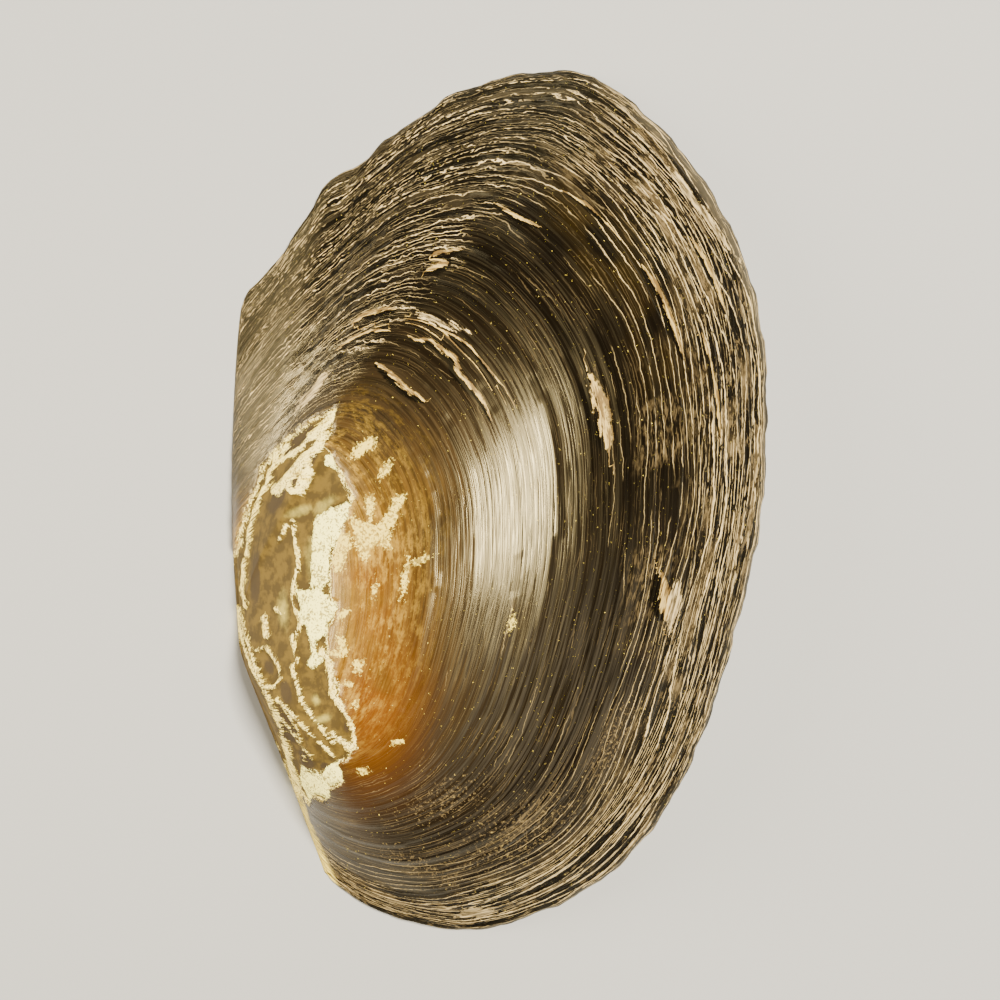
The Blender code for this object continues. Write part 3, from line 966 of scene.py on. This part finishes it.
def layDarkSkin(made, tree, growth, ray):
    # amber near the beak, black-brown over the belly, with hairlines and fine striae
    clouds = stored(tree, "clouds") - 0.5
    patches = stored(tree, "patches")
    streaks = made.streaks("skin")
    level = growth + clouds * 0.10 + (streaks - 0.5) * 0.05 + ray.smooth(0.56, 0.74) * 0.06
    made.colour = ramp(tree, level, finish["grounds"])
    made.lay(streaks.smooth(0.38, 0.60) * 0.6, made.blend(1.0, made.colour, "skinShade", "MULTIPLY"))
    # grey dust on the lower belly, made paler to paint the low end of the sheen
    made.lay(ray.smooth(0.50, 0.30) * growth.smooth(0.5, 0.62) * streaks.smooth(0.36, 0.66), "greyDustAndSheen")
    made.lay(stored(tree, "olive") * patches.smooth(0.3, 0.6) * 0.8, "oliveSkin")
    amber = stored(tree, "amber") * (clouds + 0.5).smooth(0.2, 0.55)
    made.lay(amber * 0.8, "amberSkin")
    flecks = made.streaks("flecks") + clouds * 0.3
    made.lay(flecks.smooth(0.46, 0.70) * growth.smooth(0.54, 0.40) * 0.6, "amberGrain")
    made.lay(flecks.smooth(0.46, 0.30) * growth.smooth(0.60, 0.44) * 0.25, "amberShade")
    dashes = made.effect("fibres", Growth=growth, Ray=ray, Along=70.0, Across=190.0, Share=0.44, Seed=2.0)
    bands = stored(tree, "bands").smooth(0.46, 0.62) * (ray - 0.46).size().smooth(0.13, 0.05)
    made.lay(dashes["Light"] * bands * growth.smooth(0.76, 0.80) * 0.4, "hairline")
    shown = patches.smooth(0.35, 0.65) * growth.smooth(0.45, 0.62)
    made.lay(made.lines("skin")["Line"] * shown * ray.smooth(0.30, 0.16, 0.2, 0.6), "hairline")
    striae = made.streaks("striae")
    made.height = striae * growth.smooth(0.42, 0.58, 0.012, 0.06) * growth.smooth(0.62, 0.76, 1.0, 0.25)
    made.roughness = growth.smooth(0.36, 0.50, 0.28, 0.18) * striae.smooth(0.38, 0.60, 0.8, 1.7)


def layMargin(made, tree, growth, ray):
    # pale lines along the growing edge: few and thin over the belly, crowded near the margin
    crowded = (growth + stored(tree, "sway") * 0.07 - 0.035).smooth(0.845, 0.90)
    flaky = made.streaks("flaky")
    patches = stored(tree, "patches")
    lines = made.lines("margin", Width=growth.smooth(0.7, 0.92, 0.03, 0.09) * (flaky + 0.5),
                       Fullness=growth.smooth(0.66, 0.92, 0.34, 0.68) + patches * 0.1 - 0.05)
    layer = made.blend(lines["Tone"].smooth(0.52, 0.72), "darkLayerAndShadow", "tanLayer")
    chips = flaky + (lines["Tone"] - 0.5) * 0.5 + (patches - 0.5) * 0.25
    made.lay(crowded, made.blend(chips.smooth(0.58, 0.64) * 0.45, layer, "hairline"), 0.26)
    edge = growth.smooth(0.972, 0.99) * (ray - 0.62).size().smooth(0.12, 0.05, 0.25, 1.0)
    made.lay(edge * 0.8, "edgeGrey", 0.35)
    # painted shadow behind the rims of the coarse and then the fine lamellae
    made.lay(lines["Shadow"] * crowded * 0.8, "darkLayerAndShadow")
    fine = made.lines("marginFine")
    made.lay(fine["Shadow"] * crowded * 0.9, "darkLayerAndShadow")
    made.lay(fine["Line"] * crowded * flaky.smooth(0.36, 0.50) * 0.65, "cream", 0.4)
    bright = growth.smooth(0.48, 0.58, 0.0, 0.26) + growth.smooth(0.74, 0.90, 0.0, 0.74)
    made.lay(lines["Line"] * bright * flaky.smooth(0.32, 0.46, 0.4, 1.0), "cream", 0.45)
    rise = lines["Rise"] * 0.05 + made.streaks("grain") * 0.08
    made.height = made.mixed(crowded, made.height, rise)


def layHindSlope(made, tree, growth, ray):
    # flaky edges of tan over near black; on the wing they are thinner and closer
    hind = stored(tree, "hind")
    wing = ray.smooth(0.89, 0.95)
    patches = stored(tree, "patches")
    lines = made.lines("hind", Fullness=0.48 + patches * 0.16)
    thin = made.lines("hindThin")
    dark = made.blend(wing.higher(growth.smooth(0.93, 0.99) * 0.7), "hindDark", "wingSkin")
    skin = made.blend(lines["Tone"].smooth(0.52, 0.72) * 0.12, dark, "hindLight")
    made.lay(hind, skin, made.mixed(wing, 0.20, 0.55))
    made.lay(thin["Line"] * hind * patches.smooth(0.3, 0.55, 0.5, 1.0), "hindLight", 0.6)
    shown = patches.smooth(0.3, 0.6, 0.5, 1.0) * (1.0 - wing * 0.15)
    made.lay(lines["Line"] * hind * shown, "cream", 0.45)
    made.height = made.mixed(hind, made.height, lines["Rise"] * 0.06 + thin["Rise"] * 0.03)


def layMarks(made, tree, growth, ray):
    # mottling, bare patches, torn flakes with painted shadow behind, and crusts left on the amber, those at
    # its top also a painted highlight
    specks = noiseIn(tree, made.place, 1.9, 4.0, 0.75)
    mottle = (specks + stored(tree, "mottle") * 0.14).smooth(0.665, 0.72)
    made.lay(mottle * growth.smooth(0.55, 0.65) * 0.5, "hairline", 0.4)
    rough = made.streaks("torn")
    torn = (rough - 0.5) * 1.3 + (specks - 0.5) * 0.7
    tan = (stored(tree, "tan") + torn).smooth(0.56, 0.68)
    made.lay(tan * 0.8, made.blend(rough.smooth(0.35, 0.65), "tanLayer", "cream"), 0.5)
    flake = stored(tree, "flake") + torn * 1.5
    near = stored(tree, "flakeNear").smooth(0.2, 0.5)
    # painted shadow behind each torn flake edge
    made.lay(flake.smooth(-1.5, -0.9) * flake.smooth(0.1, -0.1) * near, "darkLayerAndShadow")
    bare = flake.smooth(-0.1, 0.1) * flake.smooth(1.1, 0.7) * near
    made.lay(bare, made.blend(rough.smooth(0.42, 0.60), "tornTan", "flakeGold"), 0.45)
    # cream crusts on the amber, those at its top also a painted highlight
    gold = (stored(tree, "gold") + (specks - 0.5) * 4.0).smooth(-0.04, 0.12)
    pits = made.effect("pits", Density=2.0, Share=0.50)
    made.lay(gold * (1.0 - pits["Pits"] * 0.75), "goldCrustAndHighlight", 0.6)
    strip = ray.smooth(0.016, 0.009) * growth.smooth(0.5, 0.62)
    made.lay(strip * rough.smooth(0.36, 0.50) * 0.85, "goldCrustAndHighlight", 0.5)


def layWornBeak(made, tree, growth, ray):
    # the old beak: smooth old nacre with brown islands, under what is left of the crust and the chalk
    place = made.place
    stray = raggedness(tree, place, 1.0) + (noiseIn(tree, place, 5.0, 1.0) - 0.5) * 0.5
    edge = stored(tree, "worn") + stray * 2.0
    streaks = made.streaks("beak") - 0.5
    crust = (stored(tree, "crust") + stray * 1.2 + streaks * 2.0 - 0.12).smooth(-0.05, 0.08)
    chalk = (stored(tree, "chalk") + stray * 1.6 + streaks * 1.2).smooth(-0.08, 0.10)
    pits = made.effect("pits", Density=2.6, Share=0.47)
    clouds = noiseIn(tree, place, 0.5, 3.0, 0.6)
    pale = stored(tree, "pearl") + (clouds - 0.5) * 0.9
    umber = (stored(tree, "umber") + stray * 0.5).smooth(0.35, 0.65)
    surface = made.blend(clouds.smooth(0.62, 0.40), "oldNacre", "deepNacre")
    surface = made.blend(pale.smooth(0.45, 1.50), surface, "paleNacre")
    surface = made.blend(umber * 0.9, surface, "umberLayer")
    beads = (edge.size() + pits["Grain"] * 0.9).smooth(0.80, 0.62)
    left = crust.higher(chalk).higher(beads)
    crumbly = made.blend((streaks + stray * 0.3).smooth(0.02, 0.16), "crust", "goldCrustAndHighlight")
    crumbly = made.blend(pits["Pits"] * 0.8, made.blend(chalk, crumbly, "chalk"), "crustShade")
    made.lay(edge.smooth(-0.08, 0.08), made.blend(left, surface, crumbly), 0.75)
    made.lay(stored(tree, "worn").smooth(-0.1, 0.3), height=left * 0.14 + pits["Grain"] * left * 0.10)


def outsideMaterial(groups):
    made = Finish("agedPeriostracum", groups)
    fields = made.readShell()
    for lay in (layDarkSkin, layMargin, layHindSlope, layMarks, layWornBeak):
        lay(made, *fields)
    return made.done(Specular_IOR_Level=0.35, Specular_Tint=(1.0, 0.86, 0.48, 1.0))


def insideMaterial(groups):
    # silvery nacre in the hollow, duller and darker in a band along the margin
    made = Finish("nacre", groups, finish["nacre"], 0.22)
    tree, growth, ray = made.readShell()
    clouds = noiseIn(tree, made.place, 0.05, 3.0)
    made.lay(clouds.smooth(0.45, 0.62) * 0.55, "nacrePink")
    made.lay(clouds.smooth(0.48, 0.34) * 0.6, "nacreBlue")
    rings = made.lines("nacre")
    made.lay(rings["Line"] * 0.18, "nacreRing")
    edge = (growth + (made.streaks("prismatic") - 0.5) * 0.03).smooth(0.945, 0.975)
    made.lay(edge * 0.85, "prismatic", 0.5)
    scar = (stored(tree, "scar") + (clouds - 0.5) * 0.3).smooth(0.35, 0.5)
    made.lay(scar * 0.6, "scar", 0.32)
    line = (growth - 0.86 + (noise(tree, ray * 20.0, 0.5) - 0.5) * 0.02).size().smooth(0.012, 0.002)
    made.lay(line * 0.35, "mantleLine")
    made.height = rings["Rise"] * 0.03 + clouds * 0.2
    return made.done(Coat_Weight=0.4, Coat_Roughness=0.12)


def rimMaterial(groups):
    # the broken edge: layers of cream and brown seen end on
    made = Finish("layeredRim", groups, finish["tanLayer"], 0.6)
    pits = made.effect("pits", Density=2.2, Share=0.5)
    made.lay(pits["Grain"].smooth(0.42, 0.6), "cream")
    made.lay(pits["Pits"] * 0.8, "darkLayerAndShadow")
    made.height = pits["Grain"] * 0.1
    return made.done()


def plainMesh(shape, tree, values):
    # the shape after its nodes, as a mesh with no modifier
    modifier = shape.modifiers.new(tree.name, "NODES")
    modifier.node_group = tree
    sockets = {item.name: item.identifier for item in tree.interface.items_tree if item.in_out == "INPUT"}
    for name, value in values.items():
        modifier[sockets[name]] = value
    graph = bpy.context.evaluated_depsgraph_get()
    result = bpy.data.meshes.new_from_object(shape.evaluated_get(graph), depsgraph=graph)
    shape.modifiers.remove(modifier)
    return result


def makeValve():
    base = baseValve()
    print("valve: base of", len(base.polygons), "faces")
    piece = bpy.data.objects.new("mussel_valve", base)
    bpy.context.collection.objects.link(piece)
    groups = makeGroups()
    values = dict(relief)
    values["Outside"] = outsideMaterial(groups)
    values["Inside"] = insideMaterial(groups)
    values["Rim"] = rimMaterial(groups)
    piece.data = plainMesh(piece, reliefTree(), values)
    piece.data.shade_smooth()
    print("valve: relief raised,", len(piece.data.polygons), "faces")
    return piece


# A plain pale floor, a broad key from the belly side, and a low warm light from the hinge side.
studio = {
    "halfFloor": 1.5,           # m
    "floorColour": (0.31, 0.32, 0.33, 1.0),
    "floorRoughness": 0.9,
    "skyColour": (1.0, 0.98, 0.95, 1.0),
    "skyStrength": 0.12,
    "lamps": {                  # place and size in m, power in W, colour
        "key": ((0.17, 0.06, 0.60), (0.22, 0.15), 19.0, (1.0, 0.90, 0.72)),
        "warm": ((-0.50, 0.00, 0.15), (0.16, 0.30), 7.5, (1.0, 0.86, 0.62)),
        "top": ((0.02, 0.75, 0.40), (0.5, 0.2), 1.5, (1.0, 0.95, 0.88)),
    },
}


def makeStage():
    half = studio["halfFloor"]
    floor = bpy.data.meshes.new("floor")
    floor.from_pydata([(-half, -half, 0.0), (half, -half, 0.0), (half, half, 0.0), (-half, half, 0.0)], [],
                      [(0, 1, 2, 3)])
    ground = bpy.data.objects.new("floor", floor)
    bpy.context.collection.objects.link(ground)
    paper = bpy.data.materials.new("palePaper")
    paper.use_nodes = True
    shader = paper.node_tree.nodes["Principled BSDF"]
    shader.inputs["Base Color"].default_value = studio["floorColour"]
    shader.inputs["Roughness"].default_value = studio["floorRoughness"]
    floor.materials.append(paper)
    ground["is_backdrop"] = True
    for name, (where, size, power, colour) in studio["lamps"].items():
        light = bpy.data.lights.new(name, "AREA")
        light.shape = "RECTANGLE"
        light.size, light.size_y = size
        light.energy = power
        light.color = colour
        lamp = bpy.data.objects.new(name, light)
        lamp.location = where
        lamp.rotation_euler = Vector(where).to_track_quat("Z", "Y").to_euler()
        bpy.context.collection.objects.link(lamp)
    world = bpy.data.worlds.new("studio")
    world.use_nodes = True
    sky = world.node_tree.nodes["Background"]
    sky.inputs["Color"].default_value = studio["skyColour"]
    sky.inputs["Strength"].default_value = studio["skyStrength"]
    bpy.context.scene.world = world


def makeCamera():
    lens = bpy.data.cameras.new("view")
    lens.sensor_width = photo["sensor"]
    lens.lens = photo["sensor"] * photo["cameraHeight"] / photo["widthAtTable"]
    lens.clip_start = photo["clipStart"]
    view = bpy.data.objects.new("view", lens)
    view.location = (0.0, 0.0, photo["cameraHeight"] * mm)
    bpy.context.collection.objects.link(view)
    bpy.context.scene.camera = view


makeCamera()
makeStage()
piece = makeValve()
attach(piece, "root")
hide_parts("left_valve")
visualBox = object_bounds()
boxes = {"cad": [list(corner) for corner in cadBox], "visual": [list(corner) for corner in visualBox]}
for name, box in boxes.items():
    print(name, "box in mm:", [[round(x / mm, 1) for x in corner] for corner in box])
